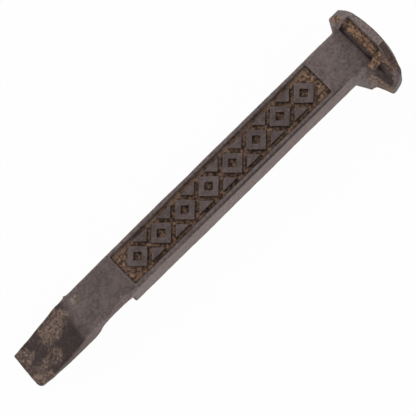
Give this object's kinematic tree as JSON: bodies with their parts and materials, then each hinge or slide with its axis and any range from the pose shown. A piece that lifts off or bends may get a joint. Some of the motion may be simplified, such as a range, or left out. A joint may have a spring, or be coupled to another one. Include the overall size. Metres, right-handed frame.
{
  "type": "railroad spike bottle opener",
  "caption": "Square iron spike with a domed, lipped head, a tapered point, a sunk ornament panel on its face and a hooked notch across its back that levers off crown caps.",
  "frame": {"origin": "on the shank's flat back, on its centre line, half way between the cap lip's wall and the underside of the head", "axes": "+X along the shank from the point to the head, +Z out of the panel face, the head's lip reaches towards -Y"},
  "size_m": [0.1686, 0.0333, 0.0313],
  "materials": {
    "worn_iron": "rubbed grey cast iron with a dull sheen",
    "dark_iron": "dark cast iron with lighter rust blotches",
    "rusted_iron": "rough brown rust patina"
  },
  "bodies": {
    "root": {"shank": "worn_iron", "point": "dark_iron", "head": "rusted_iron", "throat": "worn_iron", "cap_lip": "dark_iron", "panel_plate": "rusted_iron", "panel_lozenges": "worn_iron", "panel_darts": "worn_iron"}
  },
  "joints": []
}
